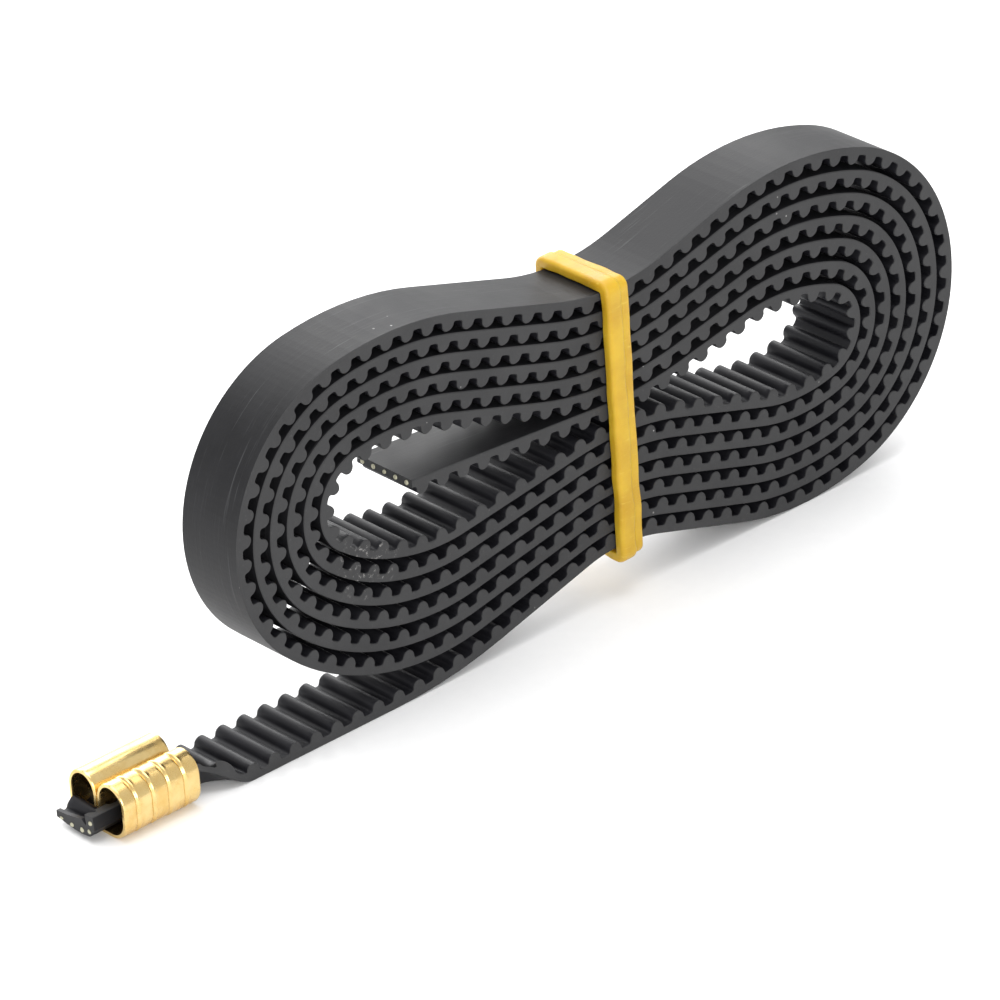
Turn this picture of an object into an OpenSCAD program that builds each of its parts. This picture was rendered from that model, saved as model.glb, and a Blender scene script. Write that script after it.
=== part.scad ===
// Open-ended 2 mm pitch timing belt, wound into a waisted coil that stands on edge,
// tied with a doubled rubber band, with a loose tail that ends in a brass crimp.
// X runs along the coil toward its bigger lobe, Y across the belt, Z up; the floor is z = 0.

/* [Belt] */
// distance from tooth to tooth along the tension cords
pitch = 2; // [1.9:0.05:2.1]
// width of the belt across its teeth
belt_w = 6; // [5:0.5:7]
// thickness of the belt over back and tooth
belt_t = 1.38; // [1.3:0.01:1.4]
// thickness of the belt between two teeth
back_t = 0.63; // [0.6:0.01:0.7]
// width of a tooth where it leaves the back
tooth_w = 1.2; // [1:0.05:1.3]
// side of one square tension cord
cord_t = 0.3; // [0.2:0.05:0.35]
// number of tension cords across the belt
cord_n = 5; // [3:1:6]

/* [Coil] */
// distance from one layer of the coil to the next
layer = 1.53; // [1.5:0.01:1.6]
// whole turns of the coil before the tail leaves it
turns = 6; // [5:1:6]
// extra room between the layers at the bigger lobe's top and the smaller lobe's bottom
slack = 0.26; // [0:0.02:0.3]
// tilt of the coil's long axis, which lowers the bigger lobe to the floor
tilt = 4.1; // [3.5:0.1:5]
// length of the inner end beyond its flex line
inner_len = 10; // [6:2:12]

/* [Tail] */
// slope of the tail below the band
tail_slope = 14.9; // [13:0.1:16]
// bend radius where the tail leaves the band
tail_r1 = 12; // [10:1:16]
// bend radius where the tail comes down to the floor
tail_r2 = 40; // [30:5:50]
// pitches of flat tail between the floor bend and the crimp
flat_pitches = 10; // [9:1:12]
// pitches of the tail that lift about its flex line
lift_pitches = 7; // [5:1:8]

/* [Crimp] */
// length of the crimp along the belt
crimp_len = 7; // [6:0.5:8]
// width of the crimp over both barrels
crimp_w = 6.2; // [6:0.1:6.6]
// height of the crimp
crimp_h = 4.3; // [4:0.1:4.6]
// wall of the crimp
crimp_t = 0.32; // [0.25:0.01:0.36]
// belt end standing out of the crimp
stub_len = 1.5; // [0.5:0.1:2]

/* [Band] */
// width of one strand of the rubber band
strand_w = 1.25; // [1:0.05:1.5]
// thickness of one strand of the rubber band
strand_t = 0.95; // [0.7:0.05:1.2]
// room between band and belt, which lets the band slide
band_gap = 0.2; // [0.15:0.05:0.3]
// lean of the band against the coil's long axis
band_lean = 5; // [4:0.5:6]

/* [Hidden] */
$fn = 48;
skin_t = 0.2;
cord_pitch = belt_w / cord_n;
bond = skin_t + cord_t;
cord_line = skin_t + cord_t / 2;

// Waist and lobes of the coil's innermost layer, in the coil's own level frame.
waist_top = [7.4, 6.3];
waist_bottom = [10.2, 4.15];
waist_r_top = 27.4;
waist_r_bottom = 24;
big_lobe = [30.3, 5.95];
big_r = 4.4;
small_lobe = [-15.4, 5.65];
small_r = 3.7;
big_top_r = 14.2;
big_bottom_r = 13.2;
small_bottom_r = 12;
small_top_r = 17.2;
big_top_a = 72.5;
big_bottom_a = -71.5;
small_bottom_a = -132;
small_top_a = -256.5;

function unit(a) = [cos(a), sin(a)];
function shoulder(c, r, a, big) = c - (big - r) * unit(a);
big_top_c = shoulder(big_lobe, big_r, big_top_a, big_top_r);
big_bottom_c = shoulder(big_lobe, big_r, big_bottom_a, big_bottom_r);
small_bottom_c = shoulder(small_lobe, small_r, small_bottom_a, small_bottom_r);
small_top_c = shoulder(small_lobe, small_r, small_top_a, small_top_r);
waist_top_c = waist_top + [0, waist_r_top];
waist_bottom_c = waist_bottom - [0, waist_r_bottom];

// Direction of the straight run that crosses between a waist bend and a lobe's shoulder.
function centre_a(w, c) = atan2(c[1] - w[1], c[0] - w[0]);
function cross_a(w, rw, c, rc, side) = centre_a(w, c) + side * acos((rw + rc) / norm(c - w));
a_top_big = cross_a(waist_top_c, waist_r_top, big_top_c, big_top_r, -1) + 180;
a_bottom_big = cross_a(waist_bottom_c, waist_r_bottom, big_bottom_c, big_bottom_r, 1) - 180;
a_bottom_small = cross_a(waist_bottom_c, waist_r_bottom, small_bottom_c, small_bottom_r, -1) - 180;
a_top_small = cross_a(waist_top_c, waist_r_top, small_top_c, small_top_r, 1) - 180;

// One turn of the base curve, as arcs: centre, radius (below 0 where it bends outward), start and end angle.
BASE = [
    [waist_top_c, -waist_r_top, 90, a_top_big],
    [big_top_c, big_top_r, a_top_big, big_top_a],
    [big_lobe, big_r, big_top_a, big_bottom_a],
    [big_bottom_c, big_bottom_r, big_bottom_a, a_bottom_big],
    [waist_bottom_c, -waist_r_bottom, a_bottom_big, -90],
    [waist_bottom_c, -waist_r_bottom, -90, a_bottom_small],
    [small_bottom_c, small_bottom_r, a_bottom_small, small_bottom_a],
    [small_lobe, small_r, small_bottom_a, small_top_a],
    [small_top_c, small_top_r, small_top_a, a_top_small],
    [waist_top_c, -waist_r_top, a_top_small, -270]
];

// Share of the turn that is done at each arc's start, measured on the middle layer.
mid = 3 * layer;
function base_pt(i, t, d) =
    let (b = BASE[i], a = b[2] + (b[3] - b[2]) * t)
    b[0] + (b[1] + d) * unit(a);
function arc_len(i) = abs(BASE[i][3] - BASE[i][2]) * PI / 180 * abs(BASE[i][1] + mid);
function run_len(i) = i < 1 ? 0 : norm(base_pt(i, 0, mid) - base_pt(i - 1, 1, mid));
STARTS = [for (i = 0, s = 0; i < len(BASE); s = s + arc_len(i) + run_len(i + 1 < len(BASE) ? i + 1 : 0), i = i + 1) s];
last = len(BASE) - 1;
turn_len = STARTS[last] + arc_len(last);

// How far the layers stand apart beyond the plain pitch, along one turn.
function bump(s, s0, s1) = s > s0 && s < s1 ? pow(sin(180 * (s - s0) / (s1 - s0)), 2) : 0;
function loose(s) = slack * (bump(s, 0.02, 0.34) + bump(s, 0.5, 0.8));

// A station of the belt is its place on the outer face and the outward direction there: [x, z, nx, nz].
function spin(p) = [p[0] * cos(tilt) + p[1] * sin(tilt), p[1] * cos(tilt) - p[0] * sin(tilt)];
function coil_level(k, i, t) =
    let (s = (STARTS[i] + arc_len(i) * t) / turn_len, u = k + s)
    base_pt(i, t, layer * u - loose(s) * (turns - u));
big_low = min([for (t = [0 : 0.02 : 1]) min(spin(coil_level(turns, 2, t))[1], spin(coil_level(turns, 3, t))[1])]);
function place(p) = spin(p) - [0, big_low];
function coil_station(k, i, t) =
    let (b = BASE[i], p = place(coil_level(k, i, t)), n = spin(unit(b[2] + (b[3] - b[2]) * t)))
    [p[0], p[1], n[0], n[1]];
function arc_steps(i, step) = max(1, ceil(abs(BASE[i][3] - BASE[i][2]) / step));
function turn_stations(k, step, arcs) = [
    for (i = [0 : arcs])
        for (j = [(run_len(i) < 0.1 && i > 0 ? 1 : 0) : arc_steps(i, step)])
            if (!(i == last && j == arc_steps(i, step)))
                coil_station(k, i, j / arc_steps(i, step))
];

// The tail: a bend away from the band, a straight slope, a bend onto the floor and a flat run.
tail_start = place(coil_level(turns, 4, 1));
a_leave = -90 - tilt;
a_slope = -90 + tail_slope;
tail_c1 = tail_start + tail_r1 * unit(a_leave);
slope_start = tail_c1 - tail_r1 * unit(a_slope);
slope_len = (slope_start[1] - tail_r2 * (1 - cos(tail_slope))) / sin(tail_slope);
slope_end = slope_start - slope_len * [cos(tail_slope), sin(tail_slope)];
tail_c2 = slope_end - tail_r2 * unit(a_slope);
function bend(c, r, a0, a1, step) =
    let (n = max(1, ceil(abs(a1 - a0) / step)))
    [for (j = [1 : n]) let (a = a0 + (a1 - a0) * j / n) [c[0] + r * cos(a), c[1] + r * sin(a), cos(a), sin(a)]];
function tail_bends(step) = concat(
    bend(tail_c1, -tail_r1, a_leave, a_slope, step),
    [[slope_end[0], slope_end[1], cos(a_slope), sin(a_slope)]],
    bend(tail_c2, tail_r2, a_slope, -90, step));

// The straight inner end lies level in the coil's own frame.
inner_n = spin([0, 1]);
inner_start = place(waist_top + [-18.7, 0]);
function bent_route(step) = concat(
    [[inner_start[0], inner_start[1], inner_n[0], inner_n[1]]],
    [for (k = [0 : turns - 1]) each turn_stations(k, step, last)],
    turn_stations(turns, step, 4),
    tail_bends(step));

// Length along the cord line at each station, and the belt's place at any such length.
function sunk(st, d) = [st[0] - st[2] * d, st[1] - st[3] * d];
function lengths(route) = [
    for (i = 0, s = 0; i < len(route);
         s = s + (i + 1 < len(route) ? norm(sunk(route[i + 1], cord_line) - sunk(route[i], cord_line)) : 0),
         i = i + 1) s];
BENT = bent_route(3);
BENT_S = lengths(BENT);
landing = BENT_S[len(BENT) - 1];
teeth_n = floor(landing / pitch) + flat_pitches;
belt_len = teeth_n * pitch;
flat_end = BENT[len(BENT) - 1][0] - (belt_len - landing);
FINE = concat(BENT, [[flat_end, 0, 0, -1]]);
FINE_S = concat(BENT_S, [belt_len]);
TABLE = [for (c = [0 : 3]) [for (i = [0 : len(FINE) - 1]) [FINE_S[i], FINE[i][c]]]];
function at(s) = [for (c = [0 : 3]) lookup(s, TABLE[c])];
COARSE = concat(bent_route(12), [[flat_end, 0, 0, -1]]);
COARSE_S = lengths(COARSE);

// The origin lies under the middle of the whole length, from the big lobe to the belt's tip.
big_end = max([for (t = [0 : 0.02 : 1]) spin(coil_level(turns, 2, t))[0]]);
centre_x = (big_end + flat_end - crimp_len - stub_len) / 2;

inner_cut = inner_len;
tail_cut = belt_len - lift_pitches * pitch;
coarse_stretch = belt_len / COARSE_S[len(COARSE) - 1];
function stretch(s0, s1) = concat(
    [at(s0)],
    [for (i = [0 : len(COARSE) - 1]) let (s = COARSE_S[i] * coarse_stretch) if (s > s0 + 0.6 && s < s1 - 0.6) COARSE[i]],
    [at(s1)]);

// Outline of a layer between two depths below the outer face.
function back_to_front(list) = [for (i = [len(list) - 1 : -1 : 0]) list[i]];
function layer_outline(st, d0, d1) =
    concat([for (p = st) sunk(p, d0)], back_to_front([for (p = st) sunk(p, d1)]));

// Half the outline of one rounded tooth: distance along the belt and depth.
TOOTH = [[-tooth_w / 2, back_t], [-tooth_w / 3, back_t + 0.62 * (belt_t - back_t)], [-tooth_w / 7, belt_t],
         [tooth_w / 7, belt_t], [tooth_w / 3, back_t + 0.62 * (belt_t - back_t)], [tooth_w / 2, back_t]];
function tooth_outline(s0, s1) = concat(
    [sunk(at(s0), back_t)],
    [for (j = [round(s0 / pitch) : round(s1 / pitch) - 1]) for (q = TOOTH) sunk(at((j + 0.5) * pitch + q[0]), q[1])],
    [sunk(at(s1), back_t)]);

// Sweeps an outline in X and Z across the belt from y0 to y1.
module across(outline, y0, y1) {
    translate([-centre_x, y1, 0])
        rotate([90, 0, 0])
            linear_extrude(height = y1 - y0)
                polygon(outline);
}

module back_skin(s0, s1) {
    across(layer_outline(stretch(s0, s1), 0, skin_t), -belt_w / 2, belt_w / 2);
}

module cords(s0, s1) {
    outline = layer_outline(stretch(s0, s1), skin_t, bond);
    for (i = [0 : cord_n - 1]) {
        y = (i - (cord_n - 1) / 2) * cord_pitch;
        across(outline, y - cord_t / 2, y + cord_t / 2);
    }
}

module cord_bed(s0, s1) {
    outline = layer_outline(stretch(s0, s1), skin_t, bond);
    for (i = [0 : cord_n]) {
        y0 = i == 0 ? -belt_w / 2 : (i - 0.5 - cord_n / 2) * cord_pitch + cord_t / 2;
        y1 = i == cord_n ? belt_w / 2 : (i + 0.5 - cord_n / 2) * cord_pitch - cord_t / 2;
        across(outline, y0, y1);
    }
}

module toothed_face(s0, s1) {
    outer = [for (p = stretch(s0, s1)) sunk(p, bond)];
    across(concat(outer, back_to_front(tooth_outline(s0, s1))), -belt_w / 2, belt_w / 2);
}

// The wound coil with the first part of the tail.
module coil_back_skin() {
    color("#1d1d1f") back_skin(inner_cut, tail_cut);
}

module coil_cord_bed() {
    color("#232326") cord_bed(inner_cut, tail_cut);
}

module coil_tension_cords() {
    color("#d8d2ae") cords(inner_cut, tail_cut);
}

module coil_teeth() {
    color("#2a2a2d") toothed_face(inner_cut, tail_cut);
}

// The loose inner end in the smaller lobe's opening.
module inner_end_back_skin() {
    color("#1d1d1f") back_skin(0, inner_cut);
}

module inner_end_cord_bed() {
    color("#232326") cord_bed(0, inner_cut);
}

module inner_end_tension_cords() {
    color("#d8d2ae") cords(0, inner_cut);
}

module inner_end_teeth() {
    color("#2a2a2d") toothed_face(0, inner_cut);
}

// The end of the tail that lifts off the floor.
module tail_back_skin() {
    color("#1d1d1f") back_skin(tail_cut, belt_len);
}

module tail_cord_bed() {
    color("#232326") cord_bed(tail_cut, belt_len);
}

module tail_tension_cords() {
    color("#d8d2ae") cords(tail_cut, belt_len);
}

module tail_teeth() {
    color("#2a2a2d") toothed_face(tail_cut, belt_len);
}

// Crimp: two tall barrels side by side, bent from one strip; its edges roll down between them.
barrel_r = (crimp_w + crimp_t) / 4;
barrel_y = crimp_w / 2 - barrel_r;
belt_floor = crimp_t + 0.02;

module barrel(inset) {
    translate([0, barrel_r])
        circle(r = barrel_r - inset);
    translate([0, crimp_h - barrel_r])
        circle(r = barrel_r - inset);
    translate([inset - barrel_r, barrel_r])
        square([2 * (barrel_r - inset), crimp_h - 2 * barrel_r]);
}

// Room inside both barrels, joined below the rolled edges where the belt passes.
module crimp_room(inset) {
    for (side = [-1, 1])
        translate([side * barrel_y, 0])
            barrel(crimp_t + inset);
    translate([-barrel_y, crimp_t + inset])
        square([2 * barrel_y, belt_t + 0.05 - inset]);
}

module crimp_profile(inset) {
    difference() {
        union() {
            translate([barrel_y, 0])
                barrel(0);
            translate([-barrel_y, 0])
                barrel(inset);
            translate([-barrel_y, inset])
                square([2 * barrel_y, barrel_r]);
        }
        crimp_room(0);
    }
}

// Extrudes a profile drawn in Y and Z from x0 toward -X.
module along_belt(x0, length) {
    translate([x0 - length - centre_x, 0, 0])
        rotate([90, 0, 90])
            linear_extrude(height = length)
                children();
}

ring_n = 4;
groove_w = 0.2;
groove_t = 0.08;
land_w = (crimp_len - ring_n * groove_w) / (ring_n + 1);

module crimp_sleeve() {
    color("#dcae45") {
        for (i = [0 : ring_n])
            along_belt(flat_end - i * (land_w + groove_w), land_w)
                crimp_profile(0);
        for (i = [1 : ring_n])
            along_belt(flat_end + groove_w - i * (land_w + groove_w), groove_w)
                crimp_profile(groove_t);
    }
}

// Belt end inside the crimp: flat under one barrel and curled up inside the other.
END_CORDS = concat(
    [for (i = [0 : 2]) [1.9 - i * 1.05, belt_floor + 0.4]],
    [for (i = [0 : 1]) [-barrel_y - 0.55, belt_floor + 1.15 + i * 1.05]]);

module curled_profile() {
    intersection() {
        crimp_room(0.02);
        union() {
            translate([-crimp_w / 2, belt_floor])
                square([crimp_w, belt_t]);
            translate([-crimp_w / 2, belt_floor])
                square([belt_t + 0.5, belt_w - 3]);
        }
    }
}

module end_cord_spots() {
    for (p = END_CORDS)
        translate(p)
            circle(d = cord_t);
}

module crimped_end() {
    color("#242427")
        along_belt(flat_end, crimp_len + stub_len)
            difference() {
                curled_profile();
                end_cord_spots();
            }
}

module crimped_end_cords() {
    color("#d8d2ae")
        along_belt(flat_end, crimp_len + stub_len)
            end_cord_spots();
}

// Rubber band: one loop laid round the waist twice, its two strands side by side.
band_x = 9.1;
band_top = 15.5;
band_bottom = -5.9;

module round_rect(w, h, r) {
    square([w - 2 * r, h], center = true);
    square([w, h - 2 * r], center = true);
    for (x = [-1, 1])
        for (y = [-1, 1])
            translate([x * (w / 2 - r), y * (h / 2 - r)])
                circle(r = r);
}

module strand(x0) {
    c = place([band_x, (band_top + band_bottom) / 2]);
    h = band_top - band_bottom + 2 * band_gap;
    w = belt_w + 2 * band_gap;
    translate([c[0] - centre_x, 0, c[1]])
        rotate([0, tilt - band_lean, 0])
            translate([x0, 0, 0])
                rotate([90, 0, 90])
                    linear_extrude(height = strand_w)
                        difference() {
                            round_rect(w + 2 * strand_t, h + 2 * strand_t, strand_t);
                            square([w, h], center = true);
                        }
}

module rubber_band() {
    color("#e0aa2c") {
        strand(-strand_w);
        strand(-0.05);
    }
}

coil_back_skin();
coil_cord_bed();
coil_tension_cords();
coil_teeth();
inner_end_back_skin();
inner_end_cord_bed();
inner_end_tension_cords();
inner_end_teeth();
tail_back_skin();
tail_cord_bed();
tail_tension_cords();
tail_teeth();
crimped_end();
crimped_end_cords();
crimp_sleeve();
rubber_band();
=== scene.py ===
"""Looks for a wound, open-ended timing belt with a rubber band and a crimped tail.

The belt is one rubber strip, so it is modelled as one fine toothed mesh along the same route as the
CAD part, cut only where it bends at a joint. Sizes are in millimetres here and become metres in MM.
"""

import bisect
import math

import bmesh
import bpy
from mathutils import Matrix, Vector, noise


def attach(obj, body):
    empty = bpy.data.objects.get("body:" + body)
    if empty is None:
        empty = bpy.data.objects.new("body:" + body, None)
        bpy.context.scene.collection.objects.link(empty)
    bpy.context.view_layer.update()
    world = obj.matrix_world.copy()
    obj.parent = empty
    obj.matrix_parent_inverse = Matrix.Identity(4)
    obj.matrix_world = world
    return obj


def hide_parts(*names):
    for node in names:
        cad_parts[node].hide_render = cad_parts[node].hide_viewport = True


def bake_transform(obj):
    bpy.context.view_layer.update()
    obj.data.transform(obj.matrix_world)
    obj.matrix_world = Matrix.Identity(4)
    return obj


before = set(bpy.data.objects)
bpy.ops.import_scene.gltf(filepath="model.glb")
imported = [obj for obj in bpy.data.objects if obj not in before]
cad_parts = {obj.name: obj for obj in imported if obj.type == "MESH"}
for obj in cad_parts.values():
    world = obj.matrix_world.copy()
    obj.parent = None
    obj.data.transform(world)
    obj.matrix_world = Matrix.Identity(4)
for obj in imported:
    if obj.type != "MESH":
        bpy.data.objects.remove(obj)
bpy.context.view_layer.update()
MM = 0.001

# Belt section and coil, the same driving sizes as the CAD part.
PITCH = 2.0
BELT_W = 6.0
BELT_T = 1.38
BACK_T = 0.63
CORD_LINE = 0.35
LAYER = 1.53
TURNS = 6
SLACK = 0.26
TILT = math.radians(4.1)
INNER_LEN = 10.0
INNER_STRAIGHT = 18.7
TAIL_SLOPE = math.radians(14.9)
TAIL_R1 = 12.0
TAIL_R2 = 40.0
FLAT_PITCHES = 10
LIFT_PITCHES = 7
CRIMP_LEN = 7.0
CRIMP_W = 6.2
CRIMP_H = 4.3
CRIMP_T = 0.32
STUB_LEN = 1.5
BAND_X = 9.1
BAND_MID = 4.8
BAND_HALF = 10.7
BAND_LEAN = math.radians(5.0)
BAND_GAP = 0.22
BAND_SIDE_GAP = 0.13
BAND_CORNER = 0.12

WAIST_TOP = Vector((7.4, 6.3))
WAIST_BOTTOM = Vector((10.2, 4.15))
WAIST_R_TOP = 27.4
WAIST_R_BOTTOM = 24.0
BIG_LOBE = Vector((30.3, 5.95))
BIG_R = 4.4
SMALL_LOBE = Vector((-15.4, 5.65))
SMALL_R = 3.7


def unit(degrees):
    return Vector((math.cos(math.radians(degrees)), math.sin(math.radians(degrees))))


def shoulder(centre, radius, angle, big):
    return centre - (big - radius) * unit(angle)


def crossing(waist, rw, centre, rc, side):
    """Direction, seen from a waist bend, of the straight run that crosses to a lobe's shoulder."""
    away = centre - waist
    turn = math.degrees(math.acos((rw + rc) / away.length))
    return math.degrees(math.atan2(away.y, away.x)) + side * turn


def base_arcs():
    """One turn of the innermost layer: centre, radius, start and end angle of each arc."""
    top_c = WAIST_TOP + Vector((0, WAIST_R_TOP))
    bottom_c = WAIST_BOTTOM - Vector((0, WAIST_R_BOTTOM))
    big_top = shoulder(BIG_LOBE, BIG_R, 72.5, 14.2)
    big_bottom = shoulder(BIG_LOBE, BIG_R, -71.5, 13.2)
    small_bottom = shoulder(SMALL_LOBE, SMALL_R, -132, 12)
    small_top = shoulder(SMALL_LOBE, SMALL_R, -256.5, 17.2)
    a1 = crossing(top_c, WAIST_R_TOP, big_top, 14.2, -1) + 180
    a2 = crossing(bottom_c, WAIST_R_BOTTOM, big_bottom, 13.2, 1) - 180
    a3 = crossing(bottom_c, WAIST_R_BOTTOM, small_bottom, 12, -1) - 180
    a4 = crossing(top_c, WAIST_R_TOP, small_top, 17.2, 1) - 180
    return [
        (top_c, -WAIST_R_TOP, 90, a1),
        (big_top, 14.2, a1, 72.5),
        (BIG_LOBE, BIG_R, 72.5, -71.5),
        (big_bottom, 13.2, -71.5, a2),
        (bottom_c, -WAIST_R_BOTTOM, a2, -90),
        (bottom_c, -WAIST_R_BOTTOM, -90, a3),
        (small_bottom, 12, a3, -132),
        (SMALL_LOBE, SMALL_R, -132, -256.5),
        (small_top, 17.2, -256.5, a4),
        (top_c, -WAIST_R_TOP, a4, -270),
    ]


ARCS = base_arcs()


def base_pt(i, t, d):
    centre, radius, a0, a1 = ARCS[i]
    return centre + (radius + d) * unit(a0 + (a1 - a0) * t)


def arc_len(i):
    centre, radius, a0, a1 = ARCS[i]
    return abs(math.radians(a1 - a0)) * abs(radius + 3 * LAYER)


def run_len(i):
    return 0 if i < 1 else (base_pt(i, 0, 3 * LAYER) - base_pt(i - 1, 1, 3 * LAYER)).length


STARTS = [0.0]
for arc in range(1, len(ARCS)):
    STARTS.append(STARTS[-1] + arc_len(arc - 1) + run_len(arc))
TURN_LEN = STARTS[-1] + arc_len(len(ARCS) - 1)


def bump(s, s0, s1):
    return math.sin(math.pi * (s - s0) / (s1 - s0)) ** 2 if s0 < s < s1 else 0.0


def loose(s):
    return SLACK * (bump(s, 0.02, 0.34) + bump(s, 0.5, 0.8))


def spin(p):
    c, s = math.cos(TILT), math.sin(TILT)
    return Vector((p[0] * c + p[1] * s, p[1] * c - p[0] * s))


def coil_level(k, i, t):
    s = (STARTS[i] + arc_len(i) * t) / TURN_LEN
    u = k + s
    return base_pt(i, t, LAYER * u - loose(s) * (TURNS - u))


FIFTIETHS = [j / 50 for j in range(51)]
BIG_LOW = min(spin(coil_level(TURNS, i, t)).y for i in (2, 3) for t in FIFTIETHS)
BIG_END = max(spin(coil_level(TURNS, 2, t)).x for t in FIFTIETHS)


def place(p):
    return spin(p) - Vector((0, BIG_LOW))


def coil_stations(step=3.0):
    stations = []
    for k in range(TURNS + 1):
        for i in range(5 if k == TURNS else len(ARCS)):
            a0, a1 = ARCS[i][2:]
            n = max(1, math.ceil(abs(a1 - a0) / step))
            first = 1 if i > 0 and run_len(i) < 0.1 else 0
            final = n - 1 if i == len(ARCS) - 1 else n
            for j in range(first, final + 1):
                out = spin(unit(a0 + (a1 - a0) * j / n))
                stations.append((place(coil_level(k, i, j / n)), out))
    return stations


def bend(centre, radius, a0, a1, step=math.radians(3)):
    n = max(1, math.ceil(abs(a1 - a0) / step))
    angles = [a0 + (a1 - a0) * j / n for j in range(1, n + 1)]
    outs = [Vector((math.cos(a), math.sin(a))) for a in angles]
    return [(centre + radius * out, out) for out in outs]


def tail_stations():
    start = place(coil_level(TURNS, 4, 1))
    leave = -math.pi / 2 - TILT
    slope = -math.pi / 2 + TAIL_SLOPE
    down = Vector((math.cos(slope), math.sin(slope)))
    c1 = start + TAIL_R1 * Vector((math.cos(leave), math.sin(leave)))
    slope_start = c1 - TAIL_R1 * down
    drop = slope_start.y - TAIL_R2 * (1 - math.cos(TAIL_SLOPE))
    run = drop / math.sin(TAIL_SLOPE)
    slope_end = slope_start - run * Vector((math.cos(TAIL_SLOPE), math.sin(TAIL_SLOPE)))
    c2 = slope_end - TAIL_R2 * down
    onto_floor = bend(c2, TAIL_R2, slope, -math.pi / 2)
    return bend(c1, -TAIL_R1, leave, slope) + [(slope_end, down)] + onto_floor


class Route:
    """The belt's outer face as stations along its cord line, from the inner end to the crimp's tip."""

    def __init__(self):
        inner = (place(WAIST_TOP - Vector((INNER_STRAIGHT, 0))), spin(Vector((0, 1))))
        self.stations = [inner] + coil_stations() + tail_stations()
        self.lengths = [0.0]
        for a, b in zip(self.stations, self.stations[1:]):
            gap = (b[0] - b[1] * CORD_LINE) - (a[0] - a[1] * CORD_LINE)
            self.lengths.append(self.lengths[-1] + gap.length)
        landing = self.lengths[-1]
        self.teeth = math.floor(landing / PITCH) + FLAT_PITCHES
        self.mouth_s = self.teeth * PITCH
        self.mouth_x = self.stations[-1][0].x - (self.mouth_s - landing)
        self.end_s = self.mouth_s + CRIMP_LEN + STUB_LEN
        tip = Vector((self.mouth_x - CRIMP_LEN - STUB_LEN, 0))
        self.stations.append((tip, Vector((0, -1))))
        self.lengths.append(self.end_s)
        self.centre_x = (BIG_END + tip.x) / 2

    def at(self, s):
        s = min(max(s, 0.0), self.end_s)
        i = min(max(bisect.bisect_right(self.lengths, s) - 1, 0), len(self.stations) - 2)
        span = self.lengths[i + 1] - self.lengths[i]
        t = (s - self.lengths[i]) / span if span > 0 else 0.0
        p = self.stations[i][0].lerp(self.stations[i + 1][0], t)
        out = self.stations[i][1].lerp(self.stations[i + 1][1], t)
        return p, out.normalized()


route = Route()
INNER_CUT = INNER_LEN
TAIL_CUT = route.mouth_s - LIFT_PITCHES * PITCH


def to_row(x, y, z):
    """A point of the belt's own X, Y, Z in millimetres, as a point of the row frame in metres."""
    return Vector(((x - route.centre_x) * MM, y * MM, z * MM))


# ---------------------------------------------------------------- materials

# Middle of the rubbed patch, in metres in the row frame.
SCUFF_AT = (-0.0174, -0.003, 0.0130)


def new_material(name, colour, roughness, metallic=0.0):
    material = bpy.data.materials.new(name)
    material.use_nodes = True
    shader = material.node_tree.nodes["Principled BSDF"]
    shader.inputs["Base Color"].default_value = (*colour, 1.0)
    shader.inputs["Roughness"].default_value = roughness
    shader.inputs["Metallic"].default_value = metallic
    return material, shader


class Nodes:
    """Short names for the few node types that the materials here are made of."""

    def __init__(self, material):
        self.tree = material.node_tree
        self.coords = self.tree.nodes.new("ShaderNodeTexCoord").outputs["Object"]

    def link(self, a, b):
        self.tree.links.new(a, b)

    def scaled(self, scale):
        node = self.tree.nodes.new("ShaderNodeMapping")
        node.inputs["Scale"].default_value = scale
        self.link(self.coords, node.inputs["Vector"])
        return node.outputs["Vector"]

    def noise(self, scale, detail=4.0, rough=0.6, vector=None):
        node = self.tree.nodes.new("ShaderNodeTexNoise")
        node.inputs["Scale"].default_value = scale
        node.inputs["Detail"].default_value = detail
        node.inputs["Roughness"].default_value = rough
        self.link(vector or self.coords, node.inputs["Vector"])
        return node.outputs["Fac"]

    def spots(self, scale, size, vector=None):
        node = self.tree.nodes.new("ShaderNodeTexVoronoi")
        node.inputs["Scale"].default_value = scale
        self.link(vector or self.coords, node.inputs["Vector"])
        return self.ramp(node.outputs["Distance"], size, size * 0.6, (0, 1))

    def ramp(self, value, low, high, ends=(0, 1)):
        node = self.tree.nodes.new("ShaderNodeMapRange")
        node.inputs["From Min"].default_value = low
        node.inputs["From Max"].default_value = high
        node.inputs["To Min"].default_value = ends[0]
        node.inputs["To Max"].default_value = ends[1]
        self.link(value, node.inputs["Value"])
        return node.outputs["Result"]

    def times(self, a, b):
        node = self.tree.nodes.new("ShaderNodeMath")
        node.operation = "MULTIPLY"
        self.link(a, node.inputs[0])
        self.link(b, node.inputs[1])
        return node.outputs[0]

    def mix(self, fac, a, b):
        node = self.tree.nodes.new("ShaderNodeMix")
        node.data_type = "RGBA"
        self.link(fac, node.inputs["Factor"])
        for socket, colour in ((node.inputs["A"], a), (node.inputs["B"], b)):
            if isinstance(colour, tuple):
                socket.default_value = (*colour, 1.0)
            else:
                self.link(colour, socket)
        return node.outputs["Result"]

    def bump(self, height, strength, distance, under=None):
        node = self.tree.nodes.new("ShaderNodeBump")
        node.inputs["Strength"].default_value = strength
        node.inputs["Distance"].default_value = distance
        self.link(height, node.inputs["Height"])
        if under:
            self.link(under, node.inputs["Normal"])
        return node.outputs["Normal"]


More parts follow.
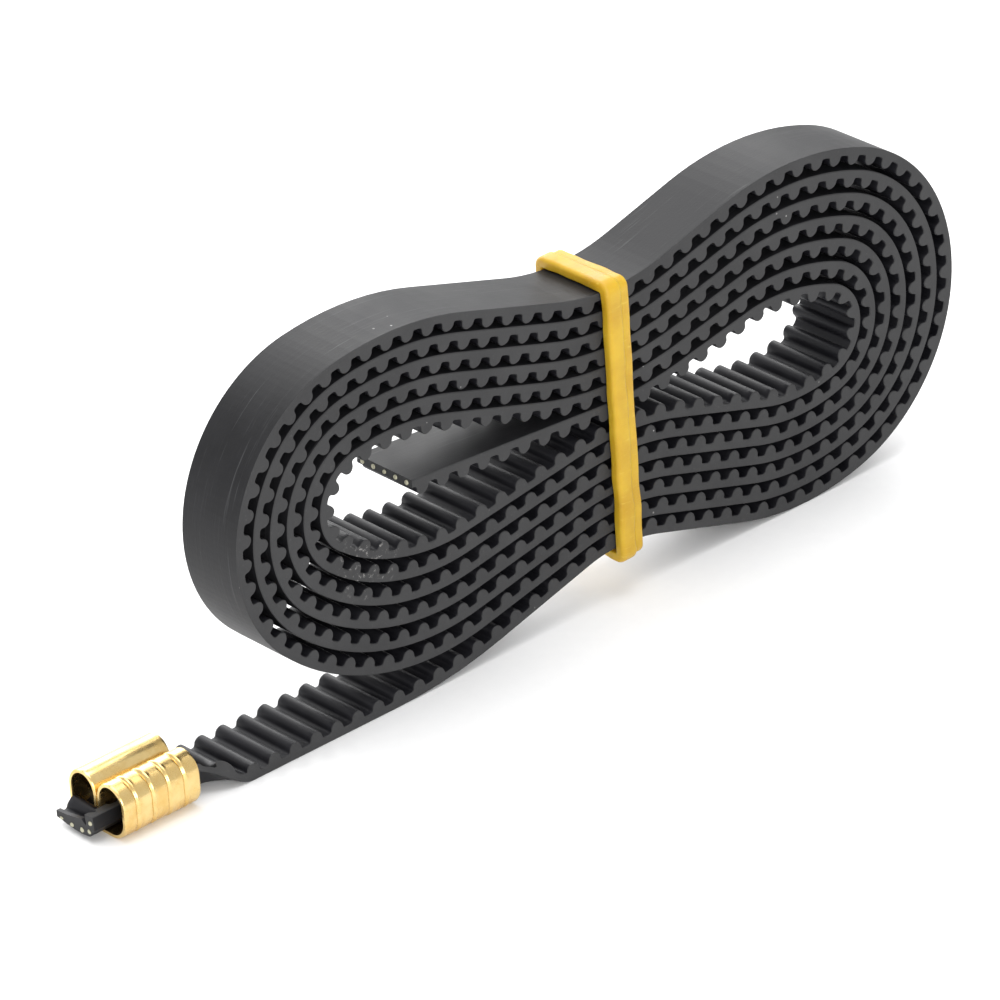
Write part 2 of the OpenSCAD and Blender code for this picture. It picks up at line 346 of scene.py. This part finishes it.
def back_rubber():
    """Ground neoprene back: fine grain, faint scratches along the belt and a soft sheen."""
    material, shader = new_material("belt_back_rubber", (0.02, 0.02, 0.022), 0.42)
    n = Nodes(material)
    grain = n.noise(5200, 5)
    cloudy = n.noise(140, 5, 0.65)
    scratches = n.noise(900, 4, 0.7, n.scaled((0.12, 4.0, 0.12)))
    shade = n.mix(n.ramp(cloudy, 0.3, 0.7), (0.008, 0.008, 0.009), (0.016, 0.016, 0.018))
    shade = n.mix(n.ramp(scratches, 0.6, 0.78), shade, (0.055, 0.055, 0.058))
    dust = n.times(n.spots(520, 0.055), n.ramp(n.noise(60), 0.55, 0.62))
    n.link(n.mix(dust, shade, (0.42, 0.41, 0.4)), shader.inputs["Base Color"])
    n.link(n.ramp(cloudy, 0.25, 0.75, (0.42, 0.55)), shader.inputs["Roughness"])
    fine = n.bump(grain, 0.35, 0.00002)
    n.link(n.bump(scratches, 0.3, 0.00003, fine), shader.inputs["Normal"])
    shader.inputs["Specular IOR Level"].default_value = 0.2
    return material


def scuffs(n, shade):
    """Pale crumbs and scratches rubbed into the slit edge below the small lobe's opening."""
    node = n.tree.nodes.new("ShaderNodeVectorMath")
    node.operation = "DISTANCE"
    node.inputs[1].default_value = SCUFF_AT
    n.link(n.coords, node.inputs[0])
    near = n.ramp(node.outputs["Value"], 0.0034, 0.0012)
    crumbs = n.ramp(n.noise(2600, 8, 0.78), 0.56, 0.64)
    return n.mix(n.times(near, crumbs), shade, (0.34, 0.33, 0.32))


def side_rubber():
    """Slit edge of the belt: matt, a little lighter, with saw grain, dust and scuffs."""
    material, shader = new_material("belt_side_rubber", (0.05, 0.049, 0.05), 0.72)
    n = Nodes(material)
    grain = n.noise(3600, 6, 0.7)
    cloudy = n.noise(210, 5, 0.6)
    drag = n.noise(1500, 3, 0.6, n.scaled((1.0, 1.0, 0.15)))
    shade = n.mix(n.ramp(cloudy, 0.3, 0.7), (0.031, 0.031, 0.032), (0.045, 0.045, 0.046))
    shade = n.mix(n.ramp(grain, 0.6, 0.8), shade, (0.07, 0.069, 0.069))
    shade = scuffs(n, shade)
    dust = n.times(n.spots(640, 0.055), n.ramp(n.noise(75), 0.5, 0.58))
    n.link(n.mix(dust, shade, (0.42, 0.41, 0.4)), shader.inputs["Base Color"])
    n.link(n.ramp(cloudy, 0.2, 0.8, (0.62, 0.8)), shader.inputs["Roughness"])
    fine = n.bump(grain, 0.5, 0.00003)
    n.link(n.bump(drag, 0.3, 0.00004, fine), shader.inputs["Normal"])
    shader.inputs["Specular IOR Level"].default_value = 0.25
    return material


def tooth_rubber():
    """Moulded teeth: smoother satin black with a slight bloom."""
    material, shader = new_material("belt_tooth_rubber", (0.012, 0.012, 0.014), 0.4)
    n = Nodes(material)
    grain = n.noise(4200, 4)
    cloudy = n.noise(260, 5)
    shade = n.mix(n.ramp(cloudy, 0.3, 0.7), (0.007, 0.007, 0.009), (0.016, 0.016, 0.019))
    n.link(shade, shader.inputs["Base Color"])
    n.link(n.ramp(cloudy, 0.25, 0.75, (0.34, 0.52)), shader.inputs["Roughness"])
    n.link(n.bump(grain, 0.3, 0.00002), shader.inputs["Normal"])
    shader.inputs["Specular IOR Level"].default_value = 0.2
    return material


def cord_glass():
    """Cut ends of the glass fibre cords."""
    material, shader = new_material("cord_glass", (0.45, 0.43, 0.31), 0.6)
    n = Nodes(material)
    strands = n.noise(9000, 4, 0.7)
    n.link(n.mix(strands, (0.22, 0.21, 0.14), (0.62, 0.6, 0.44)), shader.inputs["Base Color"])
    n.link(n.bump(strands, 0.8, 0.00004), shader.inputs["Normal"])
    return material


def crimp_brass():
    """Polished sheet brass with faint drawing lines, smudges and worn spots."""
    material, shader = new_material("crimp_brass", (0.93, 0.68, 0.27), 0.17, 1.0)
    n = Nodes(material)
    smudge = n.noise(700, 5, 0.6)
    lines = n.noise(2600, 3, 0.6, n.scaled((0.08, 1.0, 1.0)))
    spots = n.noise(1500, 3)
    tone = n.mix(n.ramp(smudge, 0.35, 0.7), (0.80, 0.60, 0.27), (0.70, 0.47, 0.16))
    tone = n.mix(n.ramp(spots, 0.66, 0.74), tone, (0.62, 0.47, 0.22))
    n.link(tone, shader.inputs["Base Color"])
    n.link(n.ramp(smudge, 0.3, 0.75, (0.2, 0.34)), shader.inputs["Roughness"])
    n.link(n.bump(lines, 0.18, 0.00003), shader.inputs["Normal"])
    return material


def band_latex():
    """Amber latex: cloudy, a little see-through at its edges, with fine cross wrinkles."""
    material, shader = new_material("band_latex", (0.55, 0.3, 0.03), 0.4)
    n = Nodes(material)
    cloudy = n.noise(300, 5, 0.6)
    wrinkles = n.noise(1400, 4, 0.6, n.scaled((0.4, 1.0, 2.2)))
    tone = n.mix(n.ramp(cloudy, 0.35, 0.65), (0.46, 0.27, 0.012), (0.56, 0.36, 0.022))
    tone = n.mix(n.ramp(wrinkles, 0.62, 0.8), tone, (0.62, 0.45, 0.07))
    n.link(tone, shader.inputs["Base Color"])
    n.link(n.ramp(cloudy, 0.3, 0.7, (0.33, 0.5)), shader.inputs["Roughness"])
    n.link(n.bump(wrinkles, 0.35, 0.00008), shader.inputs["Normal"])
    shader.inputs["Specular IOR Level"].default_value = 0.35
    shader.inputs["Subsurface Weight"].default_value = 0.25
    shader.inputs["Subsurface Radius"].default_value = (0.0012, 0.0007, 0.0002)
    shader.inputs["Subsurface Scale"].default_value = 1.0
    return material


def paper_floor():
    """White photo paper with a faint tooth."""
    material, shader = new_material("paper_floor", (0.9, 0.9, 0.9), 0.75)
    n = Nodes(material)
    fibre = n.noise(900, 6, 0.65)
    n.link(n.mix(fibre, (0.88, 0.88, 0.885), (0.93, 0.93, 0.93)), shader.inputs["Base Color"])
    n.link(n.bump(fibre, 0.12, 0.0001), shader.inputs["Normal"])
    return material


BACK = back_rubber()
SIDE = side_rubber()
TEETH = tooth_rubber()
CORD = cord_glass()
BRASS = crimp_brass()
LATEX = band_latex()


# ---------------------------------------------------------------- meshes


def new_object(name, bm, materials, smooth=True):
    bmesh.ops.recalc_face_normals(bm, faces=bm.faces)
    mesh = bpy.data.meshes.new(name)
    bm.to_mesh(mesh)
    bm.free()
    for material in materials:
        mesh.materials.append(material)
    for polygon in mesh.polygons:
        polygon.use_smooth = smooth
    obj = bpy.data.objects.new(name, mesh)
    bpy.context.scene.collection.objects.link(obj)
    return obj


def bridge(bm, a, b):
    """Faces between two closed rings of vertices."""
    n = len(a)
    for i in range(n):
        j = (i + 1) % n
        bm.faces.new((a[i], a[j], b[j], b[i]))


def tooth_profile():
    """One pitch, from gap middle to gap middle: distance from the tooth's middle and height."""
    tip_r = 0.555
    tip_c = BELT_T - BACK_T - tip_r
    half = [(1.0, 0.0), (0.80, 0.0), (0.70, 0.02), (0.62, 0.07), (0.57, 0.14)]
    for degrees in (0, 25, 45, 65, 80):
        a = math.radians(degrees)
        half.append((tip_r * math.cos(a), tip_c + tip_r * math.sin(a)))
    left = [(-ds, h) for ds, h in half]
    right = [(ds, h) for ds, h in reversed(half)]
    return left + [(0.0, BELT_T - BACK_T)] + right[:-1]


PROFILE = tooth_profile()
EDGE = 0.07
CUT_TOOTH = 0.62
CUT_TOOTH_LEN = 0.34
CUT_FLANK_H = 0.3
CUT_FLANK = 0.42
CUT_CLEAR = 0.5


def belt_samples(s0, s1):
    """Stations of the visible belt: length along it and height of the toothed side there."""
    samples = []
    last = s1 - (CUT_CLEAR if s1 > route.mouth_s else 1e-6)
    for j in range(math.floor(s0 / PITCH), math.ceil(s1 / PITCH)):
        for ds, h in PROFILE:
            s = (j + 0.5) * PITCH + ds
            if s0 - 1e-6 <= s < last:
                samples.append((s, h))
    if s1 > route.mouth_s:
        samples.append((s1 - CUT_FLANK, CUT_FLANK_H))
        samples += [(s1 - CUT_TOOTH_LEN, CUT_TOOTH), (s1, CUT_TOOTH)]
    else:
        samples.append((s1, 0.0))
    return samples


def clamp(value):
    return min(max(value, 0.0), 1.0)


def curl_amount(s):
    """0 on the flat tail, 1 inside the crimp: how far the near edge is curled up."""
    t = clamp((s - (route.mouth_s - CURL_BEFORE)) / CURL_RUN)
    return t * t * (3 - 2 * t)


CURL_BEFORE = 5.0
CURL_RUN = 5.5
CURL_FROM = -0.35
CURL_R = 1.05
CURL_MOST = math.radians(98)
CURL_THIN = 0.9
CURL_LIFT = 0.34
CURL_NARROW = 0.05
WEDGE_RUN = 0.8
WEDGE_FROM = 0.2
WEDGE_WIDTH = 2.4
WEDGE_THIN = 0.55
WEDGE_RISE = 0.3


def curled(y, depth, amount):
    """New y and height of a section's point when the edge beyond CURL_FROM is curled up."""
    over = CURL_FROM - y
    if over <= 0 or amount <= 0:
        return y, depth
    turn = min(over / CURL_R, CURL_MOST) * amount
    radius = CURL_R / amount
    straight = max(over - radius * turn, 0.0)
    depth = min(depth, CURL_THIN) if amount > 0.5 else depth
    y = CURL_FROM - (radius - depth) * math.sin(turn) - straight * math.cos(turn)
    return y, radius - (radius - depth) * math.cos(turn) + straight * math.sin(turn)


def section_point(s, y, depth):
    """A point of the belt in the row frame, at a length, a place across the width and a depth."""
    amount = curl_amount(s)
    lift = CURL_LIFT * amount
    if amount > 0:
        narrow = 1 - CURL_NARROW * amount
        y, depth = curled(y * narrow, depth, amount)
        depth += lift
        wedge = clamp((s - route.mouth_s - CRIMP_LEN) / WEDGE_RUN)
        far = clamp((y - WEDGE_FROM) / WEDGE_WIDTH)
        thin = 1 - WEDGE_THIN * wedge * far
        depth = lift + (depth - lift) * thin + WEDGE_RISE * wedge * far * far
    p, out = route.at(s)
    return to_row(p.x - out.x * depth, y, p.y - out.y * depth)


def ring_offsets(h):
    """The section's outline: place across the width and depth, back face first."""
    half = BELT_W / 2
    deep = BACK_T + h
    inner = max(deep - EDGE, BACK_T * 0.6)
    inside = [half * f for f in (-0.82, -0.6, -0.3, 0, 0.3, 0.6, 0.82)]
    across = [-half + EDGE] + inside + [half - EDGE]
    ring = [(y, 0.0) for y in across]
    middle = BACK_T * 0.55
    ring += [(half, EDGE), (half, middle), (half, inner)]
    ring += [(y, deep) for y in reversed(across)]
    ring += [(-half, inner), (-half, middle), (-half, EDGE)]
    return ring


ACROSS_N = 9
RING_N = 2 * ACROSS_N + 6


def belt_piece(name, s0, s1):
    """A stretch of the belt as one closed mesh with its own back, side and tooth materials."""
    bm = bmesh.new()
    rings = []
    for s, h in belt_samples(s0, s1):
        rings.append([bm.verts.new(section_point(s, y, d)) for y, d in ring_offsets(h)])
    for a, b in zip(rings, rings[1:]):
        for i in range(RING_N):
            j = (i + 1) % RING_N
            face = bm.faces.new((a[i], a[j], b[j], b[i]))
            if i < ACROSS_N - 1:
                face.material_index = 0
            elif ACROSS_N + 2 < i < 2 * ACROSS_N + 2:
                face.material_index = 2
            else:
                face.material_index = 1
    for ring in (rings[0], rings[-1]):
        bm.faces.new(ring).material_index = 1
    obj = new_object(name, bm, [BACK, SIDE, TEETH])
    obj.data.set_sharp_from_angle(angle=math.radians(35))
    return obj


PIECE_REACH = 6
BEND_BEFORE = 4
INNER_BEND_AFTER = 3


def bending_piece(piece, s_coil, s_child):
    """Bakes the piece's placement into its mesh; it looks up the belt at both lengths but uses neither.
    """
    near, _ = route.at(s_coil)
    far, _ = route.at(s_child)
    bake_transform(piece)


def belt():
    """The belt in three pieces, cut well inside the coil's side of each joint."""
    wound = belt_piece("belt_wound", INNER_CUT + PIECE_REACH, TAIL_CUT - PIECE_REACH)
    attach(wound, "coil")
    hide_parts("coil_back_skin", "coil_cord_bed", "coil_tension_cords", "coil_teeth")

    inner = belt_piece("belt_inner_end", 0, INNER_CUT + PIECE_REACH)
    bending_piece(inner, INNER_CUT + INNER_BEND_AFTER, INNER_CUT - BEND_BEFORE)
    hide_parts("inner_end_back_skin", "inner_end_cord_bed")
    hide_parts("inner_end_tension_cords", "inner_end_teeth")

    tail = belt_piece("belt_tail", TAIL_CUT - PIECE_REACH, route.end_s)
    bending_piece(tail, TAIL_CUT - BEND_BEFORE, TAIL_CUT + BEND_BEFORE)
    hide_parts("tail_back_skin", "tail_cord_bed", "tail_tension_cords", "tail_teeth")
    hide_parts("crimped_end")


CORD_N = 5
CORD_R = 0.19
CORD_R_VARIES = 0.03
CORD_SIDES = 14
CORD_RAGGED = 0.16
# How far each ring of a cord end stands out of the cut, and its size.
CORD_RINGS = ((-0.25, 1.0), (0.05, 1.0), (0.1, 0.72))


def cord_ends(name, s, facing, body, stands_for):
    """The five cut cord ends that show in a cut face of the belt."""
    bm = bmesh.new()
    for k in range(CORD_N):
        y = (k - (CORD_N - 1) / 2) * BELT_W / CORD_N
        radius = CORD_R + CORD_R_VARIES * noise.noise(Vector((k * 3.1, s, 0.5)))
        rings = []
        for reach, size in CORD_RINGS:
            ring = []
            for q in range(CORD_SIDES):
                a = math.tau * q / CORD_SIDES
                wobble = 1 + CORD_RAGGED * noise.noise(Vector((math.cos(a), math.sin(a), k * 1.7)))
                r = radius * size * wobble
                p = section_point(s, y + r * math.cos(a), CORD_LINE + r * math.sin(a))
                ring.append(bm.verts.new(p + facing * (reach * MM)))
            rings.append(ring)
        for a, b in zip(rings, rings[1:]):
            bridge(bm, a, b)
        bm.faces.new(rings[0])
        bm.faces.new(rings[-1])
    obj = new_object(name, bm, [CORD])
    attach(obj, body)
    if stands_for:
        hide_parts(stands_for)


# ---------------------------------------------------------------- crimp


VALLEY_Y = 0.19
VALLEY_Z = 1.9
COLUMNS = 113
RINGS = 4
RING_SPAN = 4.75
RING_START = 0.93
RING_FROM_Y = -0.5
RING_FADE = 0.6
RING_DEEP = 0.1
RING_HALF = 0.1
RIDGE_AFTER = 0.24
RIDGE_HIGH = 0.035
RIDGE_HALF = 0.12
CRIMP_DENT = 0.02
CRIMP_ROUND = 0.05
CRIMP_ROUND_LEN = 0.1


def crimp_strip():
    """Centre line of the bent strip: edge in the valley, over one barrel, under both, over the other."""
    r = (CRIMP_W + CRIMP_T) / 4 - CRIMP_T / 2
    cy = CRIMP_W / 2 - CRIMP_T / 2 - r
    top = CRIMP_H - CRIMP_T / 2 - r
    low = r + CRIMP_T / 2
    half = []
    for q in range(5):
        half.append((VALLEY_Y, VALLEY_Z + (top - VALLEY_Z) * q / 5))
    for q in range(49):
        a = math.radians(180 - 180 * q / 48)
        reach = cy - VALLEY_Y if a > math.pi / 2 else r
        half.append((cy + reach * math.cos(a), top + r * math.sin(a)))
    for q in range(1, 4):
        half.append((cy + r, top + (low - top) * q / 4))
    for q in range(25):
        a = math.radians(-90 * q / 24)
        half.append((cy + r * math.cos(a), low + r * math.sin(a)))
    mirrored = [(-y, z) for y, z in reversed(half)]
    return half + mirrored


def groove_depth(x, y):
    """Depth of the rings pressed into the near barrel, each with a low ridge beside it."""
    if y >= RING_FROM_Y:
        return 0.0
    fade = min(1.0, (RING_FROM_Y - y) / RING_FADE)
    depth = 0.0
    for k in range(RINGS):
        at = -CRIMP_LEN * (k + RING_START) / RING_SPAN
        depth += RING_DEEP * fade * math.exp(-(((x - at) / RING_HALF) ** 2))
        depth -= RIDGE_HIGH * fade * math.exp(-(((x - at - RIDGE_AFTER) / RIDGE_HALF) ** 2))
    return depth


def crimp():
    """The sheet-brass crimp: a bent strip with rounded ends and four rings in one barrel."""
    centre = crimp_strip()
    count = len(centre)
    normals = []
    for i in range(count):
        a = centre[max(i - 1, 0)]
        b = centre[min(i + 1, count - 1)]
        d = Vector((b[0] - a[0], b[1] - a[1])).normalized()
        normals.append(Vector((-d.y, d.x)))
    bm = bmesh.new()
    outer_grid, inner_grid = [], []
    for c in range(COLUMNS):
        x = -CRIMP_LEN * c / (COLUMNS - 1)
        outer_row, inner_row = [], []
        end = min(abs(x), abs(x + CRIMP_LEN))
        round_off = CRIMP_ROUND * max(0.0, 1 - end / CRIMP_ROUND_LEN)
        for (y, z), n in zip(centre, normals):
            dent = CRIMP_DENT * noise.noise(Vector((x * 0.5, y * 0.7, z * 0.7)))
            shift = dent - groove_depth(x, y)
            half = CRIMP_T / 2 - round_off
            wide = Vector((y, z)) + n * (half + shift)
            thin = Vector((y, z)) - n * (half - 0.6 * shift)
            wide.y, thin.y = max(wide.y, 0.01), max(thin.y, 0.12)
            outer_row.append(bm.verts.new(to_row(route.mouth_x + x, wide.x, wide.y)))
            inner_row.append(bm.verts.new(to_row(route.mouth_x + x, thin.x, thin.y)))
        outer_grid.append(outer_row)
        inner_grid.append(inner_row)
    for c in range(COLUMNS - 1):
        for i in range(count - 1):
            for grid in (outer_grid, inner_grid):
                bm.faces.new((grid[c][i], grid[c][i + 1], grid[c + 1][i + 1], grid[c + 1][i]))
        for i in (0, count - 1):
            here = (outer_grid[c][i], inner_grid[c][i])
            following = (inner_grid[c + 1][i], outer_grid[c + 1][i])
            bm.faces.new(here + following)
    for c in (0, COLUMNS - 1):
        for i in range(count - 1):
            bm.faces.new((outer_grid[c][i], outer_grid[c][i + 1], inner_grid[c][i + 1], inner_grid[c][i]))
    obj = new_object("crimp", bm, [BRASS])
    obj.data.set_sharp_from_angle(angle=math.radians(50))
    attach(obj, "tail")
    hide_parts("crimp_sleeve")


# ---------------------------------------------------------------- rubber band


def band_path(half_w, half_h, corner, steps=9):
    """Closed rounded rectangle in the band's own Y and Z, with its outward directions."""
    path = []
    for q, (sy, sz) in enumerate(((1, 1), (-1, 1), (-1, -1), (1, -1))):
        for k in range(steps + 1):
            a = math.radians(90 * q + 90 * k / steps)
            out = Vector((math.cos(a), math.sin(a)))
            c = Vector((sy * (half_w - corner), sz * (half_h - corner)))
            path.append((c + corner * out, out))
        following = ((-1, 1), (-1, -1), (1, -1), (1, 1))[q]
        here = path[-1][0]
        a = math.radians(90 * (q + 1))
        out = Vector((math.cos(a), math.sin(a)))
        there = Vector((following[0] * (half_w - corner), following[1] * (half_h - corner)))
        there += corner * out
        parts = 40 if q % 2 else 12
        for k in range(1, parts):
            path.append((here.lerp(there, k / parts), out))
    return path


STRAND_INNER_R = 0.12
STRAND_SWAY = 0.12
STRAND_SWELL = 0.08
# Each strand's middle along the waist, width, thickness, and where its unevenness starts.
STRANDS = (
    (-0.42, 1.50, 0.82, 0.0),
    (0.62, 1.02, 0.66, 2.0),
)


def strand_section(width, thick, n=6):
    """Rounded outline of one strand: along X and outward, from its inner face."""
    r = min(width, thick) * 0.42
    outline = []
    small = STRAND_INNER_R
    corners = (
        (width / 2 - r, thick - r, 0, r),
        (-width / 2 + r, thick - r, 90, r),
        (-width / 2 + small, small, 180, small),
        (width / 2 - small, small, 270, small),
    )
    for cx, cz, a0, rr in corners:
        for k in range(n + 1):
            a = math.radians(a0 + 90 * k / n)
            outline.append((cx + rr * math.cos(a), cz + rr * math.sin(a)))
    return outline


def band():
    """One latex loop laid twice round the waist, the second strand beside the first."""
    mid = place((BAND_X, BAND_MID))
    centre = to_row(mid.x, 0, mid.y)
    turn = Matrix.Rotation(TILT - BAND_LEAN, 3, "Y")
    bm = bmesh.new()
    path = band_path(BELT_W / 2 + BAND_SIDE_GAP, BAND_HALF + BAND_GAP, BAND_CORNER)
    for offset, width, thick, seed in STRANDS:
        rings = []
        for p, out in path:
            where = Vector((p.x * 0.35, p.y * 0.22, seed))
            sway = STRAND_SWAY * noise.noise(where * 1.6)
            swell = 1 + STRAND_SWELL * noise.noise(where * 2.3 + Vector((5, 0, 0)))
            ring = []
            for x, rise in strand_section(width * swell, thick * swell):
                along = (offset + sway + x) * MM
                q = Vector((along, (p.x + out.x * rise) * MM, (p.y + out.y * rise) * MM))
                ring.append(bm.verts.new(centre + turn @ q))
            rings.append(ring)
        rings.append(rings[0])
        for a, b in zip(rings, rings[1:]):
            bridge(bm, a, b)
    obj = new_object("rubber_band_loop", bm, [LATEX])
    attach(obj, "band")
    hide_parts("rubber_band")


# ---------------------------------------------------------------- floor, light and camera


FLOOR_HALF = 3.0
CAMERA_DISTANCE = 514.4
CAMERA_AZIMUTH = math.radians(-42.49)
CAMERA_ELEVATION = math.radians(25.78)
CAMERA_LENS = 252.0
CAMERA_SENSOR = 36.0


def floor():
    bm = bmesh.new()
    bmesh.ops.create_grid(bm, x_segments=8, y_segments=8, size=FLOOR_HALF)
    obj = new_object("paper_sheet", bm, [paper_floor()], smooth=False)


def area_light(name, place_at, aim, size, power):
    data = bpy.data.lights.new(name, "AREA")
    data.shape = "RECTANGLE"
    data.size, data.size_y = size
    data.energy = power
    obj = bpy.data.objects.new(name, data)
    bpy.context.scene.collection.objects.link(obj)
    obj.location = place_at
    obj.rotation_euler = (Vector(aim) - Vector(place_at)).to_track_quat("-Z", "Y").to_euler()


def lights():
    world = bpy.data.worlds.new("white_tent")
    bpy.context.scene.world = world
    world.use_nodes = True
    background = world.node_tree.nodes["Background"]
    background.inputs["Color"].default_value = (1.0, 1.0, 1.0, 1.0)
    background.inputs["Strength"].default_value = 0.85
    area_light("back_softbox", (0.3, 0.75, 0.42), (0, 0, 0.01), (0.9, 0.6), 7.0)
    area_light("top_softbox", (0.05, 0.05, 0.6), (0, 0, 0.01), (0.5, 0.5), 2.6)
    area_light("front_softbox", (-0.3, -0.55, 0.25), (-0.01, 0, 0.01), (0.3, 0.3), 2.0)


def camera():
    """Long lens from the front left, above the coil. Its level follows the coil's own long axis."""
    back = Vector((
        math.sin(CAMERA_AZIMUTH) * math.cos(CAMERA_ELEVATION),
        -math.cos(CAMERA_AZIMUTH) * math.cos(CAMERA_ELEVATION),
        math.sin(CAMERA_ELEVATION),
    ))
    right = Vector((math.cos(CAMERA_AZIMUTH), math.sin(CAMERA_AZIMUTH), 0))
    up = back.cross(right)
    lean = Matrix.Rotation(TILT, 3, "Y")
    back, right, up = lean @ back, lean @ right, lean @ up
    aim = place((0, 0))
    data = bpy.data.cameras.new("camera")
    data.sensor_width = CAMERA_SENSOR
    data.lens = CAMERA_LENS
    data.clip_start = 0.01
    data.clip_end = 20.0
    obj = bpy.data.objects.new("camera", data)
    bpy.context.scene.collection.objects.link(obj)
    rotation = Matrix((right, up, back)).transposed().to_4x4()
    eye = to_row(aim.x, 0, aim.y) + back * (CAMERA_DISTANCE * MM)
    obj.matrix_world = Matrix.Translation(eye) @ rotation
    bpy.context.scene.camera = obj


camera()
belt()
inner_way = -spin(Vector((1, 0)))
cord_ends("cord_ends_inner", 0.0, Vector((inner_way.x, 0, inner_way.y)), "inner_end", None)
cord_ends("cord_ends_tail", route.end_s, Vector((-1, 0, 0)), "tail", "crimped_end_cords")
crimp()
band()
floor()
lights()
bpy.context.scene.view_settings.view_transform = "Standard"
